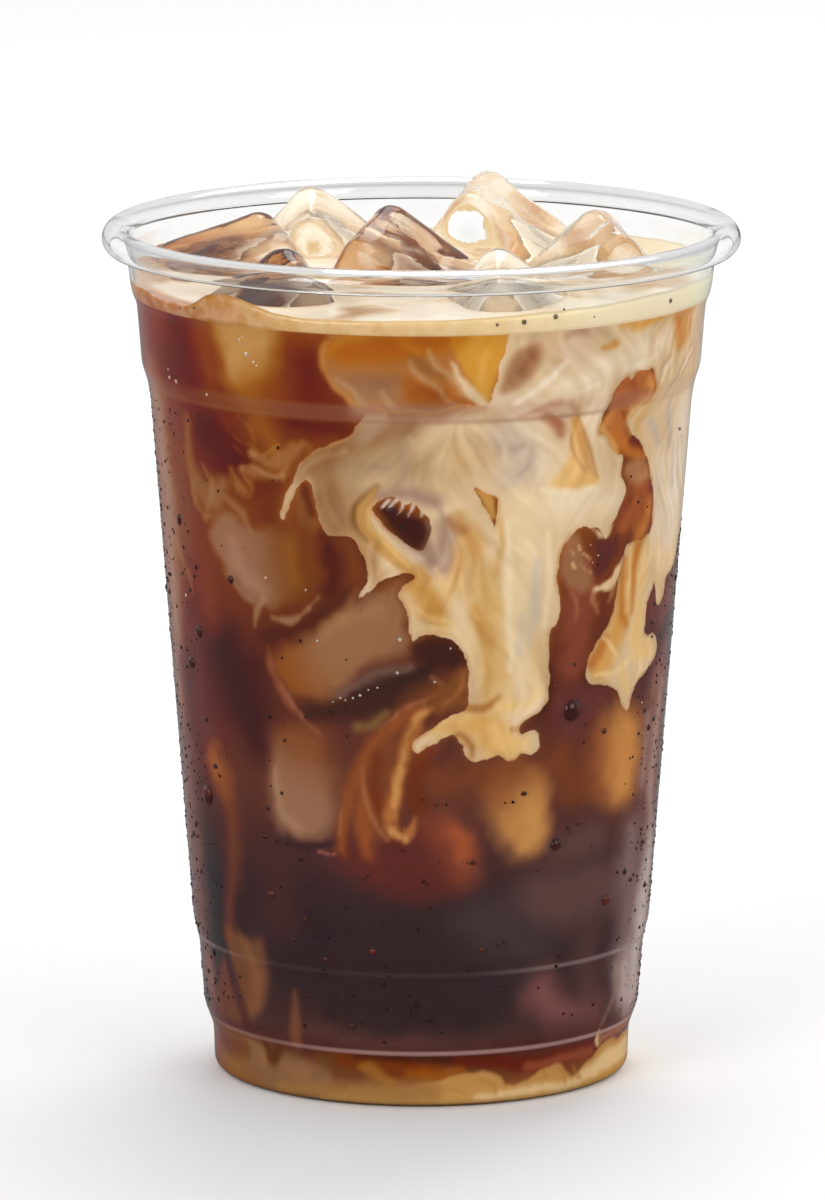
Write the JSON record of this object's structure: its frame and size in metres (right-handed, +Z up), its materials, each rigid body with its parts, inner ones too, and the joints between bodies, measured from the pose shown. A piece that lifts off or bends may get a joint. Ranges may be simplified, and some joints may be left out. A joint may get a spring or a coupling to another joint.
{
  "type": "cold brew coffee",
  "caption": "Iced cold brew coffee with a pale cream swirl and floating ice cubes, in a clear tapered takeaway cup with a rolled lip.",
  "frame": {"origin": "middle of the foot ring's underside, where the cup stands", "axes": "+Z up along the cup's axis, -Y towards the side that the picture shows, +X to the right of it"},
  "size_m": [0.0978, 0.0978, 0.1355],
  "materials": {
    "clear_plastic": "clear glossy moulded plastic, faintly misted with condensation",
    "creamed_coffee": "translucent red-brown coffee with pale cream plumes through it",
    "cream": "pale cream-coloured wet layer with fine bubbles",
    "ice": "clear wet ice with melted edges, tinted by the drink"
  },
  "bodies": {
    "root": {"cup": "clear_plastic", "coffee": "creamed_coffee", "cream_layer": "cream", "ice_cube_left": "ice", "ice_cube_back_left": "ice", "ice_cube_middle": "ice", "ice_cube_back_right": "ice", "ice_cube_right": "ice", "ice_cube_front_right": "ice", "ice_cube_front_left": "ice"}
  },
  "joints": []
}
